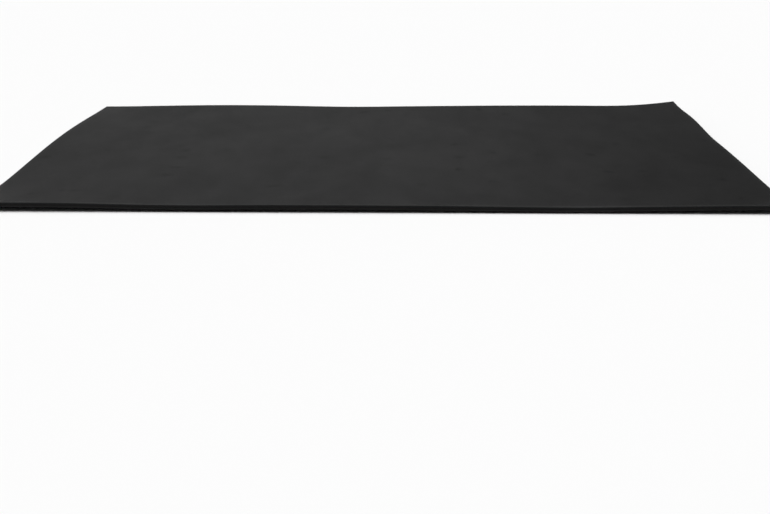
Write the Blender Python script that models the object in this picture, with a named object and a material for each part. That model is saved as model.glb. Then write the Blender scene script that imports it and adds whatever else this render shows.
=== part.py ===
"""A die-cut craft foam sheet that lies face up on a level floor, as a Blender 4.5 script.

Metres, +Z up, +X along the long side and -Y towards the viewer. The origin is the middle of the
underside. The sheet is one closed solid. It is drawn flat first and then bent: its middle lies flat
on the floor and its margins rise in the low swells that a soft sheet keeps from its packing.
"""

import math

import bmesh
import bpy
from mathutils import Vector

# Sheet blank
SHEET_WIDTH = 0.3048
SHEET_DEPTH = 0.2286
SHEET_THICKNESS = 0.002

# Die-cut rim: the rule rounds the face it enters more than the one it leaves, and the squeezed
# foam springs back into a slightly hollow edge
CORNER_RADIUS = 0.0008
FACE_ARRIS = 0.00025
BACK_ARRIS = 0.00012
EDGE_WAIST = 0.0001

# How far in from each edge its swells die out
LEFT_REACH = 0.060
RIGHT_REACH = 0.045
FRONT_REACH = 0.045
BACK_REACH = 0.050

# Left edge, one long arch
LEFT_ARCH_LIFT = 0.0022
LEFT_ARCH_HALF_LENGTH = 0.105
LEFT_ARCH_FROM_FRONT = 0.134

# Right edge, a low swell and the higher one behind it
RIGHT_LOW_LIFT = 0.0013
RIGHT_LOW_HALF_LENGTH = 0.107
RIGHT_LOW_FROM_FRONT = 0.113
RIGHT_HIGH_LIFT = 0.0028
RIGHT_HIGH_HALF_LENGTH = 0.061
RIGHT_HIGH_FROM_BACK = 0.039

# Back edge, two ripples with the sheet nearly flat between them
BACK_LEFT_LIFT = 0.0010
BACK_LEFT_HALF_LENGTH = 0.073
BACK_LEFT_FROM_LEFT = 0.070
BACK_RIGHT_LIFT = 0.0012
BACK_RIGHT_HALF_LENGTH = 0.136
BACK_RIGHT_FROM_RIGHT = 0.065

# Front edge, a low swell along the middle and a rise to each corner
FRONT_MIDDLE_LIFT = 0.0011
FRONT_MIDDLE_HALF_LENGTH = 0.150
FRONT_MIDDLE_FROM_LEFT = 0.134
FRONT_LEFT_LIFT = 0.0016
FRONT_LEFT_HALF_LENGTH = 0.079
FRONT_LEFT_FROM_LEFT = 0.007
FRONT_RIGHT_LIFT = 0.0015
FRONT_RIGHT_HALF_LENGTH = 0.095
FRONT_RIGHT_FROM_RIGHT = 0.003

# Back right corner, curled up across its diagonal
CURL_LIFT = 0.0020
CURL_REACH = 0.024

# Mesh
GRID_STEP = 0.0085
CORNER_SEGMENTS = 3
ARRIS_SEGMENTS = 2
SLOPE_STEP = 0.0001

# Black foam
FOAM_COLOUR = (0.011, 0.011, 0.012, 1.0)
FOAM_ROUGHNESS = 0.6

LEFT, RIGHT = -SHEET_WIDTH / 2, SHEET_WIDTH / 2
FRONT, BACK = -SHEET_DEPTH / 2, SHEET_DEPTH / 2

# Each edge's swells, as crest along the edge, half length and lift
LEFT_SWELLS = [(FRONT + LEFT_ARCH_FROM_FRONT, LEFT_ARCH_HALF_LENGTH, LEFT_ARCH_LIFT)]
RIGHT_SWELLS = [
    (FRONT + RIGHT_LOW_FROM_FRONT, RIGHT_LOW_HALF_LENGTH, RIGHT_LOW_LIFT),
    (BACK - RIGHT_HIGH_FROM_BACK, RIGHT_HIGH_HALF_LENGTH, RIGHT_HIGH_LIFT),
]
BACK_SWELLS = [
    (LEFT + BACK_LEFT_FROM_LEFT, BACK_LEFT_HALF_LENGTH, BACK_LEFT_LIFT),
    (RIGHT - BACK_RIGHT_FROM_RIGHT, BACK_RIGHT_HALF_LENGTH, BACK_RIGHT_LIFT),
]
FRONT_SWELLS = [
    (LEFT + FRONT_LEFT_FROM_LEFT, FRONT_LEFT_HALF_LENGTH, FRONT_LEFT_LIFT),
    (LEFT + FRONT_MIDDLE_FROM_LEFT, FRONT_MIDDLE_HALF_LENGTH, FRONT_MIDDLE_LIFT),
    (RIGHT - FRONT_RIGHT_FROM_RIGHT, FRONT_RIGHT_HALF_LENGTH, FRONT_RIGHT_LIFT),
]


def clear_scene():
    for obj in list(bpy.data.objects):
        bpy.data.objects.remove(obj, do_unlink=True)


def swell_height(along, swells):
    """Height of an edge at one place along it: round humps that end level."""
    height = 0.0
    for crest, half_length, lift in swells:
        t = min(abs(along - crest) / half_length, 1.0)
        height += lift * (1 - t * t) ** 2
    return height


def curl(inward, reach):
    """1 at the edge and 0 from the line where the sheet meets the floor, on an even curve."""
    return max(1 - inward / reach, 0.0) ** 2


def rise(x, y):
    """How far the sheet stands off the floor at a place on it."""
    diagonal = ((RIGHT - x) + (BACK - y)) * math.sqrt(0.5)
    return (
        swell_height(y, LEFT_SWELLS) * curl(x - LEFT, LEFT_REACH)
        + swell_height(y, RIGHT_SWELLS) * curl(RIGHT - x, RIGHT_REACH)
        + swell_height(x, FRONT_SWELLS) * curl(y - FRONT, FRONT_REACH)
        + swell_height(x, BACK_SWELLS) * curl(BACK - y, BACK_REACH)
        + CURL_LIFT * curl(diagonal, CURL_REACH)
    )


def upright(x, y):
    """The direction square to the bent sheet at a place on it."""
    along_x = (rise(x + SLOPE_STEP, y) - rise(x - SLOPE_STEP, y)) / (2 * SLOPE_STEP)
    along_y = (rise(x, y + SLOPE_STEP) - rise(x, y - SLOPE_STEP)) / (2 * SLOPE_STEP)
    return Vector((-along_x, -along_y, 1)).normalized()


def draw_outline(bm):
    """The flat blank as a grid of faces with its four corners rounded."""
    across = round(SHEET_WIDTH / GRID_STEP)
    deep = round(SHEET_DEPTH / GRID_STEP)
    bmesh.ops.create_grid(bm, x_segments=across, y_segments=deep, size=0.5)
    bmesh.ops.scale(bm, verts=bm.verts, vec=(SHEET_WIDTH, SHEET_DEPTH, 1))
    corners = [v for v in bm.verts if len(v.link_edges) == 2]
    bmesh.ops.bevel(
        bm, geom=corners, offset=CORNER_RADIUS, segments=CORNER_SEGMENTS, profile=0.5, affect="VERTICES"
    )


def thicken(bm):
    """Extrudes the blank to its thickness, with z = 0 halfway through it."""
    bmesh.ops.translate(bm, verts=bm.verts, vec=(0, 0, -SHEET_THICKNESS / 2))
    extruded = bmesh.ops.extrude_face_region(bm, geom=bm.faces[:])["geom"]
    top = [g for g in extruded if isinstance(g, bmesh.types.BMVert)]
    bmesh.ops.translate(bm, verts=top, vec=(0, 0, SHEET_THICKNESS))
    bmesh.ops.recalc_face_normals(bm, faces=bm.faces)


def cut_waist(bm):
    """Draws the middle of the cut edge in, all the way round."""
    upright_edges = [e for e in bm.edges if e.verts[0].co.z * e.verts[1].co.z < 0]
    cut = bmesh.ops.subdivide_edges(bm, edges=upright_edges, cuts=1, use_grid_fill=True)
    waist = [g for g in cut["geom_inner"] if isinstance(g, bmesh.types.BMVert)]
    bm.normal_update()
    for v in waist:
        v.co -= v.normal * EDGE_WAIST


def round_arris(bm, side, size):
    """Rounds the rim of the top face (side 1) or of the underside (side -1)."""
    of_face = {v for v in bm.verts if v.co.z * side > SHEET_THICKNESS / 4}
    rim = [
        e
        for e in bm.edges
        if of_face.issuperset(e.verts) and any(v not in of_face for f in e.link_faces for v in f.verts)
    ]
    bmesh.ops.bevel(bm, geom=rim, offset=size, segments=ARRIS_SEGMENTS, profile=0.5, affect="EDGES")


def bend(bm):
    """Lays the flat blank over its swells, keeping its thickness square to the bent face."""
    for v in bm.verts:
        x, y, through = v.co
        middle = Vector((x, y, SHEET_THICKNESS / 2 + rise(x, y)))
        v.co = middle + upright(x, y) * through


def foam_material():
    material = bpy.data.materials.new("black_foam")
    material.use_nodes = True
    shader = material.node_tree.nodes["Principled BSDF"]
    shader.inputs["Base Color"].default_value = FOAM_COLOUR
    shader.inputs["Roughness"].default_value = FOAM_ROUGHNESS
    shader.inputs["Metallic"].default_value = 0.0
    material.diffuse_color = FOAM_COLOUR
    return material


def foam_sheet():
    bm = bmesh.new()
    draw_outline(bm)
    thicken(bm)
    cut_waist(bm)
    round_arris(bm, 1, FACE_ARRIS)
    round_arris(bm, -1, BACK_ARRIS)
    bend(bm)
    mesh = bpy.data.meshes.new("foam_sheet")
    bm.to_mesh(mesh)
    bm.free()
    mesh.materials.append(foam_material())
    sheet = bpy.data.objects.new("foam_sheet", mesh)
    bpy.context.scene.collection.objects.link(sheet)
    return sheet


clear_scene()
foam_sheet()
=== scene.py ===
# %% [markdown]
# # A black craft foam sheet
#
# Craft foam is a soft plastic blown full of closed cells, baked as a thick block, sliced into
# sheets and stamped out with a steel rule die. This sheet lies face up on a pale floor. The solid
# in the frame gives its size and the way it lies, and this lesson gives it the fine skin, the cut
# edge and the light. Every size is in metres.

# %% Load the frame
import math

import bmesh
import bpy
import numpy as np
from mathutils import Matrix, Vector, noise
from mathutils.bvhtree import BVHTree


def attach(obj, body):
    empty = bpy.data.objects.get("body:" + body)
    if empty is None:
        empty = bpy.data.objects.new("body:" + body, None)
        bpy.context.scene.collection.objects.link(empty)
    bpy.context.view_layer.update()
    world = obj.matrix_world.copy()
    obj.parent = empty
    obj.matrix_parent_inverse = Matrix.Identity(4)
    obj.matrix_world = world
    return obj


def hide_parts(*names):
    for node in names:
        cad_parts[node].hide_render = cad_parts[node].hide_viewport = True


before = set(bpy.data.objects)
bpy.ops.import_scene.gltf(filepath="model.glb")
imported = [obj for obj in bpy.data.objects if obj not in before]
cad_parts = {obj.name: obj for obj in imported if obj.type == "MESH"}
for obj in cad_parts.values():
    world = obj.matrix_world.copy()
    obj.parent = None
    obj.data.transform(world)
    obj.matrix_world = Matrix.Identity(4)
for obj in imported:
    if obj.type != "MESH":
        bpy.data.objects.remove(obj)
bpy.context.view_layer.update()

# %% [markdown]
# ## The camera
#
# The viewer sits low in front of the sheet, about the sheet's own length and a half away, and
# looks down at a slope of one in three and a half. A camera has two jobs that are easy to mix up:
# where it stands decides which faces show, and its lens only decides how large they come out. So
# the place and the turn are set first, from the way the edges run together in the picture, and
# then the lens.

# %% Camera
PICTURE_WIDTH_PX = 770
FOCAL_LENGTH_PX = 1310
SENSOR_MM = 36
NEAREST_SEEN = 0.01
CAMERA_PLACE = Vector((0.0086, -0.58525, 0.11693))
LOOK_DOWN_DEG = 15.86
TURN_LEFT_DEG = 0.88

camera_data = bpy.data.cameras.new("camera")
camera_data.sensor_width = SENSOR_MM
camera_data.lens = SENSOR_MM * FOCAL_LENGTH_PX / PICTURE_WIDTH_PX
camera_data.clip_start = NEAREST_SEEN
camera = bpy.data.objects.new("camera", camera_data)
camera.location = CAMERA_PLACE
camera.rotation_euler = (math.radians(90 - LOOK_DOWN_DEG), 0, math.radians(TURN_LEFT_DEG))
bpy.context.scene.collection.objects.link(camera)
bpy.context.scene.camera = camera
print("lens", round(camera_data.lens, 1), "mm, looking down", LOOK_DOWN_DEG, "degrees")

# %% [markdown]
# ## Helpers for nodes
#
# A finish is a small tree of nodes, and a few helpers keep each tree as short as a recipe. The
# first adds a node and fills its inputs. The others are the steps that every recipe here repeats:
# arithmetic, a change of range, and a mix of two numbers.

# %% Node helpers
def add(tree, kind, inputs=None, **settings):
    """Adds a shader node. An input that is given a socket is linked, and any other is set."""
    made = tree.nodes.new("ShaderNode" + kind)
    for name, value in settings.items():
        setattr(made, name, value)
    for name, value in (inputs or {}).items():
        if isinstance(value, bpy.types.NodeSocket):
            tree.links.new(value, made.inputs[name])
        else:
            made.inputs[name].default_value = value
    return made


def math_node(tree, operation, *values):
    return add(tree, "Math", dict(enumerate(values)), operation=operation).outputs[0]


def map_range(tree, value, low, high, to_low=0.0, to_high=1.0, smooth=False):
    limits = {"From Min": low, "From Max": high, "To Min": to_low, "To Max": to_high}
    kind = "SMOOTHSTEP" if smooth else "LINEAR"
    made = add(tree, "MapRange", {"Value": value, **limits}, interpolation_type=kind)
    return made.outputs["Result"]


def mix_number(tree, share, first, second):
    return add(tree, "Mix", {0: share, 2: first, 3: second}).outputs[0]


print("helpers that add a node:", add.__name__, math_node.__name__, map_range.__name__)

# %% [markdown]
# A group is a recipe that several finishes can share. Its sockets are made on its interface, and
# each finish that places it gives it values of its own.

# %% Group helpers
NUMBER = "NodeSocketFloat"


def new_group(name, inputs, outputs):
    """Opens a node group whose sockets are all plain numbers, and gives its two ends."""
    group = bpy.data.node_groups.new(name, "ShaderNodeTree")
    for socket_name, value in inputs.items():
        socket = group.interface.new_socket(socket_name, in_out="INPUT", socket_type=NUMBER)
        socket.default_value = value
    for socket_name in outputs:
        group.interface.new_socket(socket_name, in_out="OUTPUT", socket_type=NUMBER)
    start = group.nodes.new("NodeGroupInput")
    end = group.nodes.new("NodeGroupOutput")
    return group, start.outputs, end.inputs


def place_group(tree, group, **values):
    """Places a group in a finish. Underscores in the names stand for spaces."""
    made = tree.nodes.new("ShaderNodeGroup")
    made.node_tree = group
    for name, value in values.items():
        made.inputs[name.replace("_", " ")].default_value = value
    return made.outputs


print("helpers for a group:", new_group.__name__, place_group.__name__)

# %% [markdown]
# A new material comes with one Principled shader. It stays in the material, where the gloss is set
# on its own sockets, and the groups only feed it with what changes over the surface.

# %% Material helpers
def principled(material):
    return material.node_tree.nodes["Principled BSDF"]


def new_material(name):
    material = bpy.data.materials.new(name)
    material.use_nodes = True
    return material, material.node_tree


print("helpers for a material:", principled.__name__, new_material.__name__)

# %% [markdown]
# ## The floor
#
# A catalogue table is one white surface with no visible end. It could be a curved paper sweep, but
# a wide disc does here, because every view looks along it from close to the sheet. It lies a hair
# below the sheet, so the two never share a surface, and it has no gloss to mirror the room.

# %% Floor
FLOOR_RADIUS = 12.0
FLOOR_SIDES = 96
FLOOR_GAP = 0.00005
FLOOR_COLOUR = (0.86, 0.86, 0.86, 1)

floor_mesh = bpy.data.meshes.new("floor")
bm = bmesh.new()
bmesh.ops.create_circle(bm, cap_ends=True, segments=FLOOR_SIDES, radius=FLOOR_RADIUS)
bm.to_mesh(floor_mesh)
bm.free()
floor = bpy.data.objects.new("floor", floor_mesh)
floor.location.z = -FLOOR_GAP
bpy.context.scene.collection.objects.link(floor)
pale_floor = new_material("pale_floor")[0]
shader = principled(pale_floor)
shader.inputs["Base Color"].default_value = FLOOR_COLOUR
shader.inputs["Roughness"].default_value = 1.0
shader.inputs["Specular IOR Level"].default_value = 0.0
floor_mesh.materials.append(pale_floor)
print("floor radius", FLOOR_RADIUS, "m")

# %% [markdown]
# ## The light
#
# A white ceiling with a wide soft box in its middle lights the table from above. The rest is what
# the face mirrors. Foam is matt, but at a low angle even matt foam shows what stands behind it,
# and here its left half is paler than its right. That asks for walls that are open on the left and
# screened off on the right. A row of panels would leave its edges in the face, so the walls are a
# fade painted on the world. The camera itself is given a plain white backdrop in place of the dim
# walls.

# %% Room light
WALL_OPEN = 0.275
WALL_SCREENED = 0.0
FADE_FROM_X = 0.0
FADE_TO_X = 0.24
CEILING = 1.4
CEILING_FROM_Z = 0.5
CEILING_TO_Z = 0.8
BACKDROP = 0.98

world = bpy.data.worlds.new("screened_room")
bpy.context.scene.world = world
world.use_nodes = True
tree = world.node_tree
seen = add(tree, "TexCoord").outputs["Generated"]
towards = add(tree, "SeparateXYZ", {"Vector": seen}).outputs
walls = map_range(tree, towards["X"], FADE_FROM_X, FADE_TO_X, WALL_OPEN, WALL_SCREENED, smooth=True)
overhead = map_range(tree, towards["Z"], CEILING_FROM_Z, CEILING_TO_Z, smooth=True)
room = mix_number(tree, overhead, walls, CEILING)
for_camera = add(tree, "LightPath").outputs["Is Camera Ray"]
strength = mix_number(tree, for_camera, room, BACKDROP)
tree.links.new(strength, tree.nodes["Background"].inputs["Strength"])
tree.nodes["Background"].inputs["Color"].default_value = (1, 1, 1, 1)
print("walls", WALL_OPEN, "to", WALL_SCREENED, "and a ceiling of", CEILING)

# %% [markdown]
# The soft box shapes things: it draws the thin shadow along the cut edge and the wide ones under
# the raised margins. It could be an area lamp a few metres up, but that leaves the far end of the
# table grey. A sun lamp spread over sixty degrees casts the same soft shadows and is as bright
# near as far. The picture is shown without a film curve, so that black stays black and white stays
# white.

# %% Soft box overhead
BOX_WIDTH_DEG = 60
BOX_STRENGTH = 0.85

box_light = bpy.data.lights.new("soft_box", "SUN")
box_light.angle = math.radians(BOX_WIDTH_DEG)
box_light.energy = BOX_STRENGTH
soft_box = bpy.data.objects.new("soft_box", box_light)
bpy.context.scene.collection.objects.link(soft_box)
bpy.context.scene.view_settings.view_transform = "Standard"
print("soft box", BOX_WIDTH_DEG, "degrees wide, straight above")

# %% [markdown]
# ## How the sheet lies
#
# A sheet this soft is never quite flat. Its middle rests on the floor, and its margins keep low
# swells from the pack. Those swells are already in the solid, so nothing here decides them again.
# The solid is made of flat facets, though, and a low light shows every one. It could be smoothed
# as a whole, but that would round its crisp rim too. Instead its height is felt out on a net of
# plumb lines, and any place on the sheet is then read from the net along a smooth curve.

# %% Plumb lines on a net
SHEET_WIDTH = 0.3048
SHEET_DEPTH = 0.2286
NET_STEP = 0.003
NET_INSET = 0.0005
CLEAR_OF_SHEET = 1.0

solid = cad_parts["foam_sheet"]
facets = BVHTree.FromPolygons(
    [v.co.copy() for v in solid.data.vertices], [tuple(p.vertices) for p in solid.data.polygons]
)
DOWN = Vector((0, 0, -1))


def plumb(x, y):
    """The heights at which a plumb line enters and leaves the solid."""
    top = facets.ray_cast(Vector((x, y, CLEAR_OF_SHEET)), DOWN)[0].z
    under = facets.ray_cast(Vector((x, y, -CLEAR_OF_SHEET)), -DOWN)[0].z
    return top, under


def net_lines(length):
    count = round((length - 2 * NET_INSET) / NET_STEP) + 1
    return np.linspace(NET_INSET - length / 2, length / 2 - NET_INSET, count)


net_x, net_y = net_lines(SHEET_WIDTH), net_lines(SHEET_DEPTH)
net = np.array([[sum(plumb(x, y)) / 2 for x in net_x] for y in net_y])
thickness = np.subtract(*plumb(0, 0))
print("net", net.shape, "thickness", round(thickness * 1000, 3), "mm")
print("highest place", round(net.max() * 1000, 2), "mm")

# %% [markdown]
# A net of straight strings still has the facets' creases in it. A small weighted mean over each
# point's neighbours takes them out, and leaves the flat middle exactly flat. At the net's border
# the missing neighbours are carried on in a straight line, so that the rim isn't pulled in.

# %% Smooth the net
BLUR = np.array([1, 4, 6, 4, 1]) / 16


def run_on(rows, count):
    """Rows with a few more at each end, carried on in a straight line."""
    steps = np.arange(count, 0, -1)[:, None]
    before = rows[0] + (rows[0] - rows[1]) * steps
    after = rows[-1] + (rows[-1] - rows[-2]) * steps[::-1]
    return np.vstack([before, rows, after])


def blur(rows):
    padded = run_on(rows, 2)
    return sum(weight * padded[i : i + len(rows)] for i, weight in enumerate(BLUR))


smooth_net = blur(blur(net).T).T
knots = run_on(run_on(smooth_net, 1).T, 1).T
print("largest change made by the smoothing:", round(abs(smooth_net - net).max() * 1000, 3), "mm")

# %% [markdown]
# Between the knots the height follows a cubic curve through four knots each way, the curve that
# animators use for paths. It passes through every knot and has no crease at any of them. The slope
# at a place comes from two heights a millimetre apart.

# %% Read the net
SLOPE_REACH = 0.0005


def along_net(places, lines):
    """For each place, the first of its four knots and the four knots' shares."""
    at = (places - lines[0]) / (lines[1] - lines[0])
    first = np.clip(np.floor(at).astype(int), 0, len(lines) - 2)
    t = at - first
    shares = (
        t * (2 * t - 1 - t * t) / 2,
        1 + t * t * (3 * t - 5) / 2,
        t * (1 + 4 * t - 3 * t * t) / 2,
        t * t * (t - 1) / 2,
    )
    return first, shares


def height_of(x, y):
    """Height of the middle of the sheet's thickness at places on it."""
    i, across = along_net(x, net_x)
    j, deep = along_net(y, net_y)
    return sum(deep[q] * across[p] * knots[j + q, i + p] for q in range(4) for p in range(4))


def tilt_of(x, y, reach=SLOPE_REACH):
    """The unit vectors square to the sheet at places on it."""
    slope_x = (height_of(x + reach, y) - height_of(x - reach, y)) / (2 * reach)
    slope_y = (height_of(x, y + reach) - height_of(x, y - reach)) / (2 * reach)
    square = np.stack([-slope_x, -slope_y, np.ones_like(slope_x)], axis=-1)
    return square / np.linalg.norm(square, axis=-1, keepdims=True)


steepest = tilt_of(*np.meshgrid(net_x, net_y))[..., 2].min()
print("steepest slope:", round(math.degrees(math.acos(steepest)), 1), "degrees")

# %% [markdown]
# ## The blank
#
# The die leaves a rectangle with four barely rounded corners. Its mesh could come from a grid and
# a bevel, but a bevel lays its own points, and the rim is where this object has all its detail. So
# the blank is drawn as a map: a place on it is named by how far across and how far deep it is,
# from minus one to one, and the map gives its point. Lines crowd together near the rim.

# %% Map of the blank
CORNER_RADIUS = 0.0008
MESH_STEP = 0.00145
RIM_LINES = (0.0002, 0.00045, 0.0008, 0.0013)


def mesh_lines(length):
    """Shares from -1 to 1 across the blank, evenly spaced but for the extra ones by the rim."""
    half = length / 2
    even = np.linspace(-1, 1, round(length / MESH_STEP) + 1)
    even = even[abs(even) < 1 - (max(RIM_LINES) + MESH_STEP / 3) / half]
    near_rim = 1 - np.array([0, *RIM_LINES]) / half
    return np.sort(np.concatenate([even, near_rim, -near_rim]))


def blank_point(across, deep, inset):
    """The point on the flat blank, drawn in from its outline by the inset."""
    half_w, half_d = SHEET_WIDTH / 2 - inset, SHEET_DEPTH / 2 - inset
    radius = np.maximum(CORNER_RADIUS - inset, CORNER_RADIUS / 4)
    x, y = abs(across) * half_w, abs(deep) * half_d
    a = np.clip((x - half_w + radius) / radius, 0, 1)
    b = np.clip((y - half_d + radius) / radius, 0, 1)
    # Bends the square corner onto a quarter circle
    x = x - radius * a * (1 - np.sqrt(1 - b * b / 2))
    y = y - radius * b * (1 - np.sqrt(1 - a * a / 2))
    return np.sign(across) * x, np.sign(deep) * y


lines_x, lines_y = mesh_lines(SHEET_WIDTH), mesh_lines(SHEET_DEPTH)
print("mesh lines:", len(lines_x), "across and", len(lines_y), "deep")

# %% [markdown]
# ## The cut edge
#
# A steel rule presses the foam down before it parts it. That leaves a rounder lip on the face
# where the rule went in, a crisper one where it came out, and a wall that springs back slightly
# hollow. The wall is drawn as a profile, from the face round to the underside: how far in each row
# lies, and how high it is in the thickness.

# %% Profile of the edge
FACE_ARRIS = 0.00025
BACK_ARRIS = 0.00012
EDGE_WAIST = 0.0001
ARRIS_ROWS = 4
WALL_ROWS = 7

turn = np.linspace(0, math.pi / 2, ARRIS_ROWS + 1)
face_in = FACE_ARRIS * (1 - np.sin(turn))
face_up = thickness / 2 - FACE_ARRIS * (1 - np.cos(turn))
back_in = BACK_ARRIS * (1 - np.sin(turn[::-1]))
back_up = -thickness / 2 + BACK_ARRIS * (1 - np.cos(turn[::-1]))
wall = np.linspace(0, 1, WALL_ROWS + 2)[1:-1]
wall_up = face_up[-1] + (back_up[0] - face_up[-1]) * wall
wall_in = EDGE_WAIST * 4 * wall * (1 - wall)
row_in = np.concatenate([face_in, wall_in, back_in])
row_up = np.concatenate([face_up, wall_up, back_up])
print("edge rows:", len(row_in), "hollow", EDGE_WAIST * 1000, "mm")

# %% [markdown]
# ## Small unevenness
#
# Sliced foam varies in gauge by a few hundredths of a millimetre, in patches drawn out along the
# way that the block was sliced. The die pinches the last millimetre and a half next to the cut,
# and its rule drags a little, so the wall is never a perfect line. A bump map could fake all of
# it, but what is wide enough to have a shape goes into the mesh. On the underside the unevenness
# only cuts in, because the floor holds that face level.

# %% Unevenness
GAUGE_SWING = 0.00003
GAUGE_PATCH = 0.026
PEEL_SWING = 0.000008
PEEL_PATCH = 0.007
SLICING_STRETCH = 2.6
PINCH_DEPTH = 0.00007
PINCH_REACH = 0.0015
DRAG_SWING = 0.00002
DRAG_LENGTH = 0.006


def noise_at(x, y, z, patch, stretch=1.0):
    """Soft noise from -1 to 1 at places on the sheet, drawn out along Y."""
    places = np.stack([x, y / stretch, z], axis=-1) / patch
    values = [noise.noise(Vector(place)) for place in places.reshape(-1, 3)]
    return np.array(values).reshape(x.shape)


def inset_of(x, y):
    """How far in from the cut a place on the blank lies."""
    return np.minimum(SHEET_WIDTH / 2 - abs(x), SHEET_DEPTH / 2 - abs(y))


def face_relief(x, y, side):
    """How far a face stands proud of its even gauge: side 1 is the face and -1 the underside."""
    level = np.full_like(x, side)
    gauge = GAUGE_SWING * noise_at(x, y, level, GAUGE_PATCH, SLICING_STRETCH)
    peel = PEEL_SWING * noise_at(x, y, level, PEEL_PATCH, SLICING_STRETCH)
    pinch = PINCH_DEPTH * np.exp(-((inset_of(x, y) / PINCH_REACH) ** 2))
    proud = gauge + peel - pinch
    return proud if side > 0 else proud - GAUGE_SWING - PEEL_SWING


print("gauge varies by", round(GAUGE_SWING * 1000, 3), "mm either way")

# %% [markdown]
# ## Painted highlight on the lips
#
# The two lips of the cut catch the light, and that is painted into the colour: a painted
# highlight in a thin line on the lip itself and a soft band behind it. The lip could be found in
# the material by its curvature, but that is only an estimate and it changes with the mesh. Here
# the mesh knows where its lips are, so each point carries the strength of the painted highlight
# as a number of its own, and the material reads it.

# %% Painted highlight at the lips
LIP_LINE_WIDTH = 0.00035
SOFT_BAND = 0.0015
# The underside's lip gets half the painted highlight, because it faces down into shade.
HIGHLIGHT_UNDERSIDE = 0.5
HIGHLIGHT_PATCH = 0.03
HIGHLIGHT_SWING = 0.5


def lip_highlight(x, y, inset, up):
    """How strongly a point is painted with highlight, from 1 to 0: a line on the lip and a soft
    band behind it.
    """
    lip = FACE_ARRIS / 2
    down = thickness / 2 - abs(up)
    lip_line = np.exp(-((inset - lip) ** 2 + (down - lip) ** 2) / LIP_LINE_WIDTH**2)
    band = np.exp(-((inset / SOFT_BAND) ** 2) - (down / LIP_LINE_WIDTH) ** 2)
    uneven = 1 - HIGHLIGHT_SWING + HIGHLIGHT_SWING * noise_at(x, y, np.zeros_like(x), HIGHLIGHT_PATCH)
    return uneven * (lip_line + band) / 2 * (1.0 if up > 0 else HIGHLIGHT_UNDERSIDE)


print("painted lip line", LIP_LINE_WIDTH * 1000, "mm, soft band", SOFT_BAND * 1000, "mm in over the face")

# %% [markdown]
# ## The mesh
#
# The face and the underside are two sheets of the same grid, and the edge is a band of rows round
# them, so the whole thing is one closed skin with a wall of its own. Every point is placed flat
# first, then bent: it moves to the height of the lying sheet, and its share of the thickness is
# laid off square to the slope there, as a bent sheet keeps its gauge.

# %% Build the sheet
def round_the_rim(count_x, count_y):
    """Index pairs once round the outside of a grid."""
    front = [(i, 0) for i in range(count_x - 1)]
    right = [(count_x - 1, j) for j in range(count_y - 1)]
    back = [(i, count_y - 1) for i in range(count_x - 1, 0, -1)]
    left = [(0, j) for j in range(count_y - 1, 0, -1)]
    return front + right + back + left


def bent(x, y, through):
    """Points of the blank laid over the lie of the sheet."""
    points = np.stack([x, y, height_of(x, y)], axis=-1)
    return points + tilt_of(x, y) * through[..., None]


across, deep = np.meshgrid(lines_x, lines_y)
face_x, face_y = blank_point(across, deep, np.full_like(across, row_in[0]))
under_x, under_y = blank_point(across, deep, np.full_like(across, row_in[-1]))
face = bent(face_x, face_y, thickness / 2 + face_relief(face_x, face_y, 1))
under = bent(under_x, under_y, -thickness / 2 - face_relief(under_x, under_y, -1))
# How strongly each point of the two faces is painted with the lip highlight.
face_highlight = lip_highlight(face_x, face_y, inset_of(face_x, face_y), thickness / 2)
under_highlight = lip_highlight(under_x, under_y, inset_of(under_x, under_y), -thickness / 2)
print("face and underside:", face.shape[0], "by", face.shape[1], "points each")

# %% [markdown]
# Each row of the edge runs once round the sheet, at its own inset and height from the profile. The
# drag of the rule shows most halfway down the wall and dies out at the lips, so both faces keep
# their true outline.

# %% Build the edge
rim = np.array(round_the_rim(len(lines_x), len(lines_y)))
rim_across, rim_deep = lines_x[rim[:, 0]], lines_y[rim[:, 1]]
edge_rows, edge_highlight = [], []
for inset, up in zip(row_in[1:-1], row_up[1:-1]):
    level = np.full(len(rim), up)
    flat_x, flat_y = blank_point(rim_across, rim_deep, np.full(len(rim), inset))
    drag = DRAG_SWING * (1 + noise_at(flat_x, flat_y, level / 2, DRAG_LENGTH))
    in_the_wall = 1 - (2 * up / thickness) ** 2
    flat_x, flat_y = blank_point(rim_across, rim_deep, inset + drag * in_the_wall)
    share = up / thickness + 0.5
    proud = share * face_relief(flat_x, flat_y, 1) - (1 - share) * face_relief(flat_x, flat_y, -1)
    edge_rows.append(bent(flat_x, flat_y, level + proud))
    edge_highlight.append(lip_highlight(flat_x, flat_y, inset, up))
print("rim points:", len(rim), "in", len(edge_rows), "rows")

# %% [markdown]
# The points go into one long list: the face, the underside, then the rows of the edge. A quad is
# four numbers in that list. Arrays write them far quicker than adding faces one by one does, and
# because the faces and the edge share the rim's points, the skin closes by itself.

# %% Join the faces and the edge
count_x, count_y = len(lines_x), len(lines_y)
face_count = count_x * count_y
points = np.concatenate([face.reshape(-1, 3), under.reshape(-1, 3), *edge_rows])

corner = (np.arange(count_x - 1)[None, :] + count_x * np.arange(count_y - 1)[:, None]).ravel()
face_quads = np.stack([corner, corner + 1, corner + 1 + count_x, corner + count_x], axis=1)
under_quads = face_quads[:, ::-1] + face_count

rim_index = rim[:, 0] + count_x * rim[:, 1]
loops = [rim_index]
loops += [2 * face_count + k * len(rim) + np.arange(len(rim)) for k in range(len(edge_rows))]
loops += [rim_index + face_count]
bands = [
    np.stack([upper, lower, np.roll(lower, -1), np.roll(upper, -1)], axis=1)
    for upper, lower in zip(loops, loops[1:])
]

sheet_mesh = bpy.data.meshes.new("craft_foam_sheet")
sheet_mesh.from_pydata(points, [], np.concatenate([face_quads, under_quads, *bands]))
sheet_mesh.polygons.foreach_set("use_smooth", np.ones(len(sheet_mesh.polygons), bool))
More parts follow.
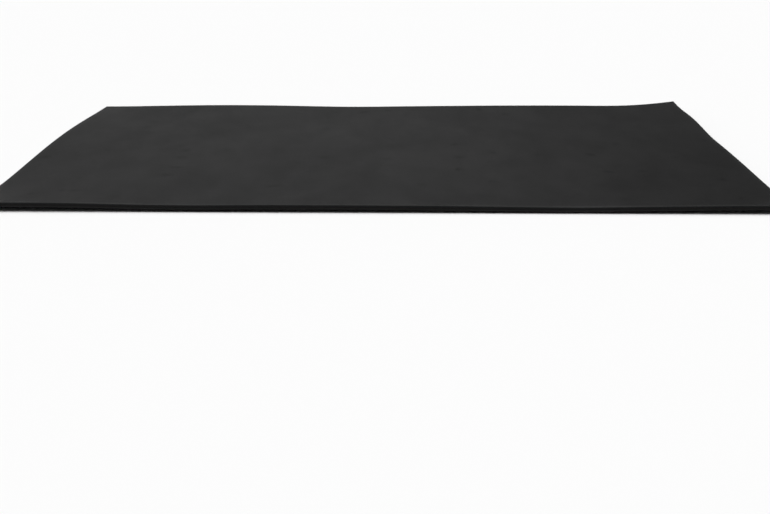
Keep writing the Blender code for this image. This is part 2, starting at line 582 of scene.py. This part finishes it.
# The strength of the painted lip highlight is kept on each point, for the materials to read.
highlight_attribute = sheet_mesh.attributes.new("lip_highlight", "FLOAT", "POINT")
highlight_attribute.data.foreach_set("value", np.concatenate([face_highlight.ravel(), under_highlight.ravel(), *edge_highlight]))
sheet = bpy.data.objects.new("craft_foam_sheet", sheet_mesh)
bpy.context.scene.collection.objects.link(sheet)
print("quads:", len(sheet_mesh.polygons))

# %% [markdown]
# A mesh that is made point by point gets a test. A closed skin has no open edge, and the room
# inside it should be the sheet's area times its gauge, 139 cubic centimetres, less a little for the
# lips and for the hollows of the underside. A negative number would mean that the faces point
# inwards.

# %% Test the mesh
bm = bmesh.new()
bm.from_mesh(sheet_mesh)
open_edges = sum(not e.is_manifold for e in bm.edges)
volume = bm.calc_volume(signed=True)
bm.free()
print("open edges:", open_edges, "volume:", round(volume * 1e6, 1), "cm3")

# %% [markdown]
# ## Foam cells
#
# Under a glass, the skin of craft foam is a field of tiny cells, a quarter of a millimetre across,
# each sliced open to a shallow cup. The cut edge shows the same cells, deeper and less even. One
# group makes both: a cell pattern gives the cups, and fine noise roughens their walls. The group
# also gives a mask of the cups, through which shade is painted into them.

# %% Group: foam cells
CUP_FLOOR = 0.1
CUP_RIM = 0.55
CELL_DISORDER = 0.9
FINE_LAYERS = 3.0

cells_inputs = {"Cell Size": 0.00025, "Roughening": 0.4}
cells_group, given, out = new_group("foam_cells", cells_inputs, ["Height", "Painted Cup Shade"])
here = add(cells_group, "TexCoord").outputs["Object"]
scale = math_node(cells_group, "DIVIDE", 1.0, given["Cell Size"])
pattern = {"Vector": here, "Scale": scale, "Randomness": CELL_DISORDER}
from_middle = add(cells_group, "TexVoronoi", pattern).outputs["Distance"]
grit = {"Vector": here, "Scale": scale, "Detail": FINE_LAYERS}
fine = add(cells_group, "TexNoise", grit).outputs["Fac"]
rough = math_node(cells_group, "MULTIPLY", fine, given["Roughening"])
cells_group.links.new(math_node(cells_group, "ADD", from_middle, rough), out["Height"])
# The cups mask is for painted shade: it is one in the middle of each cup and falls to nothing at
# its rim.
cups = map_range(cells_group, from_middle, CUP_FLOOR, CUP_RIM, 1.0, 0.0, smooth=True)
cells_group.links.new(cups, out["Painted Cup Shade"])
print("group:", cells_group.name)

# %% [markdown]
# ## Clouds
#
# Black foam is never one black. The pigment and the baking leave slow, faint patches, up to a
# sixth lighter or darker, drawn out the way the block was sliced. A painted map would do it for
# one sheet of one size. Soft noise in the sheet's own coordinates does it for the face, the
# underside and the edge alike, so it is a group that both finishes place.

# %% Group: slow clouds
CLOUD_DARKEST = 0.3
CLOUD_PALEST = 0.7
SOFT_LAYERS = 2.0

clouds_inputs = {"Patch Size": 0.01, "Stretch": 2.6}
clouds_group, given, out = new_group("foam_clouds", clouds_inputs, ["Clouds"])
here = add(clouds_group, "TexCoord").outputs["Object"]
split = add(clouds_group, "SeparateXYZ", {"Vector": here}).outputs
slow_y = math_node(clouds_group, "DIVIDE", split["Y"], given["Stretch"])
slow = add(clouds_group, "CombineXYZ", {"X": split["X"], "Y": slow_y, "Z": split["Z"]}).outputs[0]
scale = math_node(clouds_group, "DIVIDE", 1.0, given["Patch Size"])
soft = {"Vector": slow, "Scale": scale, "Detail": SOFT_LAYERS}
cloud = add(clouds_group, "TexNoise", soft).outputs["Fac"]
cloud = map_range(clouds_group, cloud, CLOUD_DARKEST, CLOUD_PALEST, smooth=True)
clouds_group.links.new(cloud, out["Clouds"])
print("group:", clouds_group.name)

# %% [markdown]
# ## Press marks
#
# Foam keeps what has pressed on it. The face has some soft dull marks, a few millimetres across,
# where its cells were crushed, smaller pits, and a few pale scuffs. Along the wall the nicks of
# the steel rule leave upright lines. They are all the same thing to a shader: scattered spots, of
# which only some are kept. A cell pattern gives the spots, and a noise pulls at them, so that
# their rims are ragged. A flat pattern, read from above, turns the spots on a wall into upright
# lines by itself.

# %% Group: press marks, where they lie
marks_inputs = {"Spacing": 0.02, "Stretch": 2.0, "Share": 0.2, "Radius": 0.001, "Raggedness": 0.5}
marks_group, given, out = new_group("press_marks", marks_inputs, ["Marks"])
here = add(marks_group, "TexCoord").outputs["Object"]
split = add(marks_group, "SeparateXYZ", {"Vector": here}).outputs
slow_y = math_node(marks_group, "DIVIDE", split["Y"], given["Stretch"])
flat = add(marks_group, "CombineXYZ", {"X": split["X"], "Y": slow_y}).outputs[0]
fineness = math_node(marks_group, "DIVIDE", 1.0, given["Radius"])
ragged = {"Vector": flat, "Scale": fineness, "Detail": SOFT_LAYERS}
torn = add(marks_group, "TexNoise", ragged).outputs["Color"]
off_centre = {0: torn, 1: (0.5, 0.5, 0.5)}
centred = add(marks_group, "VectorMath", off_centre, operation="SUBTRACT").outputs[0]
amount = math_node(marks_group, "MULTIPLY", given["Raggedness"], given["Radius"])
pull = add(marks_group, "VectorMath", {0: centred, "Scale": amount}, operation="SCALE").outputs[0]
flat = add(marks_group, "VectorMath", {0: flat, 1: pull}, operation="ADD").outputs[0]
scale = math_node(marks_group, "DIVIDE", 1.0, given["Spacing"])
pattern = {"Vector": flat, "Scale": scale}
spots = add(marks_group, "TexVoronoi", pattern, voronoi_dimensions="2D").outputs
print("group:", marks_group.name, "takes", ", ".join(marks_inputs))

# %% [markdown]
# Each cell of the pattern has a random colour of its own. Its red says if the spot is kept, its
# green how large it is and its blue how deep. One colour gives three throws of the dice that never
# change.

# %% Group: press marks, which are kept
SMALLEST_MARK = 0.5
FAINTEST_MARK = 0.45

chance = add(marks_group, "SeparateColor", {"Color": spots["Color"]}).outputs
kept = math_node(marks_group, "LESS_THAN", chance["Red"], given["Share"])
size = map_range(marks_group, chance["Green"], 0.0, 1.0, SMALLEST_MARK, 1.0)
largest = math_node(marks_group, "DIVIDE", given["Radius"], given["Spacing"])
reach = math_node(marks_group, "MULTIPLY", largest, size)
depth = map_range(marks_group, chance["Blue"], 0.0, 1.0, FAINTEST_MARK, 1.0)
depth = math_node(marks_group, "MULTIPLY", depth, kept)
spot = map_range(marks_group, spots["Distance"], 0.0, reach, depth, 0.0, smooth=True)
marks_group.links.new(spot, out["Marks"])
print("nodes in the group:", len(marks_group.nodes))

# %% [markdown]
# ## Broken highlight
#
# The mesh carries a smooth band of painted highlight, and it is broken up into flecks with a noise
# about a millimetre wide. The skin and the wall meet in that band, and both place the same group,
# so the flecks run on across the joint.

# %% Group: painted lip highlight
FLECK_SIZE = 0.0011

highlight_group, given, out = new_group("painted_lip_highlight", {"Break Up": 0.5}, ["Rubbed"])
here = add(highlight_group, "TexCoord").outputs["Object"]
# The painted lip highlight is read from the mesh and broken into flecks.
amount = add(highlight_group, "Attribute", attribute_name="lip_highlight").outputs["Fac"]
flecks = {"Vector": here, "Scale": 1 / FLECK_SIZE, "Detail": SOFT_LAYERS}
broken = add(highlight_group, "TexNoise", flecks).outputs["Fac"]
less = math_node(highlight_group, "MULTIPLY", broken, given["Break Up"])
whole = math_node(highlight_group, "SUBTRACT", 1.0, less)
highlight_group.links.new(math_node(highlight_group, "MULTIPLY", amount, whole), out["Rubbed"])
print("group:", highlight_group.name)

# %% [markdown]
# ## The skin
#
# The sliced skin is a soft black, nearer to slate than to coal. Its tone is mottled: it drifts
# with clouds of two sizes, some about a centimetre wide and some as wide as two fingers. It sinks
# in the press marks and lifts in a few scuffs. Shade is painted into the cups of its cells and
# its pinholes, and a highlight is painted along its lips. All the tones are linear values, so they
# look far darker as numbers than they do in the picture.

# %% Tones of the skin
SKIN_DARK = (0.0139, 0.0139, 0.014, 1)
SKIN_PALE = (0.0195, 0.0195, 0.0196, 1)
SKIN_CRUSHED = (0.0098, 0.0098, 0.0099, 1)
SKIN_SCUFFED = (0.0235, 0.0235, 0.0236, 1)
# Painted shade in the cups of the cells and in the pinholes.
SKIN_PAINTED_CUP_SHADE = (0.006, 0.006, 0.0061, 1)
# Painted highlight along the lips.
SKIN_LIP_HIGHLIGHT = (0.056, 0.056, 0.0565, 1)
DRIFT_SHARE = 0.65
CUP_SHADE = 0.85

print("palest tone of the mottle over its darkest:", round(SKIN_PALE[0] / SKIN_DARK[0], 2))

# %% [markdown]
# The groups are placed with the skin's own sizes. Press marks are the widest, pits are half as
# wide, scuffs are short and ragged, and burst cells are pinholes set close together. A mark that
# lies in another doesn't add to it: the deeper one counts, so they are joined by the larger of the
# two.

# %% Marks on the skin
foam_skin, tree = new_material("black_foam_skin")
clouds = place_group(tree, clouds_group, Patch_Size=0.009, Stretch=2.6)["Clouds"]
drifts = place_group(tree, clouds_group, Patch_Size=0.03, Stretch=2.0)["Clouds"]
mottle = mix_number(tree, DRIFT_SHARE, clouds, drifts)
cells = place_group(tree, cells_group, Cell_Size=0.00028, Roughening=0.5)
pores = {"Spacing": 0.0021, "Stretch": 1.0, "Share": 0.45, "Radius": 0.00016, "Raggedness": 0.6}
press = {"Spacing": 0.015, "Stretch": 1.3, "Share": 0.22, "Radius": 0.0038, "Raggedness": 2.0}
pits = {"Spacing": 0.021, "Stretch": 1.4, "Share": 0.22, "Radius": 0.002, "Raggedness": 1.6}
scuff = {"Spacing": 0.011, "Stretch": 0.8, "Share": 0.16, "Radius": 0.0024, "Raggedness": 2.5}
pressed = place_group(tree, marks_group, **press)["Marks"]
pitted = place_group(tree, marks_group, **pits)["Marks"]
marks = math_node(tree, "MAXIMUM", pressed, pitted)
scuffs = place_group(tree, marks_group, **scuff)["Marks"]
burst = place_group(tree, marks_group, **pores)["Marks"]
# Painted shade: the cups of the cells and the pinholes are painted darker.
shaded = math_node(tree, "MULTIPLY", cells["Painted Cup Shade"], CUP_SHADE)
painted_shade_in_cells = math_node(tree, "MAXIMUM", shaded, burst)
# Painted highlight: the lips are painted paler.
lips = place_group(tree, highlight_group, Break_Up=0.5)["Rubbed"]
print("groups placed:", sum(node.type == "GROUP" for node in tree.nodes))

# %% [markdown]
# The tones are laid over each other like glazes, each through its own mask. The foam's mottle
# comes first and the pale scuffs next, so the painted shade of the cups still shows in both. What
# presses on foam closes its cells, so the marks lie over the painted cup shade, and the painted
# highlight of the lips comes last.

# %% Glazes of the skin
def mix_tone(tree, share, first, second):
    return add(tree, "Mix", {0: share, 6: first, 7: second}, data_type="RGBA").outputs[2]


tone = mix_tone(tree, mottle, SKIN_DARK, SKIN_PALE)
tone = mix_tone(tree, scuffs, tone, SKIN_SCUFFED)
tone = mix_tone(tree, painted_shade_in_cells, tone, SKIN_PAINTED_CUP_SHADE)
tone = mix_tone(tree, marks, tone, SKIN_CRUSHED)
tone = mix_tone(tree, lips, tone, SKIN_LIP_HIGHLIGHT)
shader = principled(foam_skin)
tree.links.new(tone, shader.inputs["Base Color"])
print("glazes:", sum(node.type == "MIX" and node.data_type == "RGBA" for node in tree.nodes))

# %% [markdown]
# The roughness follows the mottle and the marks, because crushed cells scatter more. A very weak
# reflection with a middling roughness is what gives foam its satin look: a strong one would turn
# it into rubber, and none at all into paper. The cells and the dents are too shallow for the mesh,
# so they only tilt the light: first the grain of the cells, and then the dents sunk into it.

# %% Gloss and relief of the skin
SKIN_ROUGHNESS = 0.438
PALE_SMOOTHER = 0.035
PRESSED_ROUGHER = 0.07
WEAK_SHINE = 0.05
SKIN_GRAIN = (0.00008, 0.9)
SKIN_DENTS = (0.00005, 0.7)


def relief(tree, height, depth, strength):
    """Tilts the light on a surface by a height. The depth is in metres."""
    inputs = {"Height": height, "Distance": depth, "Strength": strength}
    return add(tree, "Bump", inputs).outputs["Normal"]


def sunk_into(tree, grain, height, depth, strength):
    """Sinks dents into a surface that already has a grain."""
    inputs = {"Height": height, "Distance": depth, "Strength": strength, "Normal": grain}
    return add(tree, "Bump", inputs, invert=True).outputs["Normal"]


smoother = math_node(tree, "MULTIPLY", mottle, -PALE_SMOOTHER)
rougher = math_node(tree, "MULTIPLY", marks, PRESSED_ROUGHER)
change = math_node(tree, "ADD", smoother, rougher)
tree.links.new(math_node(tree, "ADD", SKIN_ROUGHNESS, change), shader.inputs["Roughness"])
grain = relief(tree, cells["Height"], *SKIN_GRAIN)
dents = math_node(tree, "MAXIMUM", marks, burst)
tree.links.new(sunk_into(tree, grain, dents, *SKIN_DENTS), shader.inputs["Normal"])
shader.inputs["Specular IOR Level"].default_value = WEAK_SHINE
sheet_mesh.materials.append(foam_skin)
print("material:", foam_skin.name)

# %% [markdown]
# ## The cut edge
#
# The rule slices straight through the cells, so the wall is all open cups and nearly without
# gloss. The shade that the open cups hold is painted into its colour: it is blacker than the skin,
# and blacker again in each cup. Its cells are drawn a little smaller and deeper than the skin's,
# and its marks are close and narrow, which makes them the upright lines of the rule.

# %% Cut edge material
# The wall's tones are painted shade, darker than the skin's, and the darker one is painted into
# each cup.
EDGE_PAINTED_CUP_SHADE = (0.0075, 0.0075, 0.0076, 1)
EDGE_SHADED_WALL = (0.0125, 0.0125, 0.0126, 1)
EDGE_NICKED = (0.004, 0.004, 0.004, 1)
EDGE_ROUGHNESS = (0.78, 0.88)
EDGE_GRAIN = (0.0001, 0.9)
EDGE_DENTS = (0.00004, 0.8)

foam_edge, tree = new_material("black_foam_cut_edge")
shader = principled(foam_edge)
clouds = place_group(tree, clouds_group, Patch_Size=0.004, Stretch=1.0)["Clouds"]
cells = place_group(tree, cells_group, Cell_Size=0.0002, Roughening=0.8)
nicks = {"Spacing": 0.004, "Stretch": 1.0, "Share": 0.35, "Radius": 0.00025, "Raggedness": 0.5}
marks = place_group(tree, marks_group, **nicks)["Marks"]
lips = place_group(tree, highlight_group, Break_Up=0.6)["Rubbed"]
# Each cup of the wall is painted darker, as painted shade.
tone = mix_tone(tree, cells["Painted Cup Shade"], EDGE_SHADED_WALL, EDGE_PAINTED_CUP_SHADE)
tone = mix_tone(tree, marks, tone, EDGE_NICKED)
# The lips of the wall take the same painted highlight as the skin.
tone = mix_tone(tree, lips, tone, SKIN_LIP_HIGHLIGHT)
tree.links.new(tone, shader.inputs["Base Color"])
tree.links.new(map_range(tree, clouds, 0.0, 1.0, *EDGE_ROUGHNESS), shader.inputs["Roughness"])
grain = relief(tree, cells["Height"], *EDGE_GRAIN)
tree.links.new(sunk_into(tree, grain, marks, *EDGE_DENTS), shader.inputs["Normal"])
shader.inputs["Specular IOR Level"].default_value = WEAK_SHINE
sheet_mesh.materials.append(foam_edge)
print("material:", foam_edge.name)

# %% [markdown]
# The quads were made in order, the face, the underside and then the bands of the edge, so the wall
# is found by counting. The two bands next to each face keep the skin, because the rule folds the
# skin down over the lip before it parts it.

# %% Give the wall its own material
LIP_BANDS = 2
first_wall_quad = len(face_quads) + len(under_quads) + LIP_BANDS * len(rim)
material_index = np.zeros(len(sheet_mesh.polygons), int)
material_index[first_wall_quad : -LIP_BANDS * len(rim)] = 1
sheet_mesh.polygons.foreach_set("material_index", material_index)
print("quads of cut wall:", int(material_index.sum()))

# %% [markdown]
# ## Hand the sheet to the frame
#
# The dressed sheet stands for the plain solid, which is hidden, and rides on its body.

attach(sheet, "root")
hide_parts("foam_sheet")
print("declared:", sheet.name, "cut to", SHEET_WIDTH, "by", SHEET_DEPTH, "m")
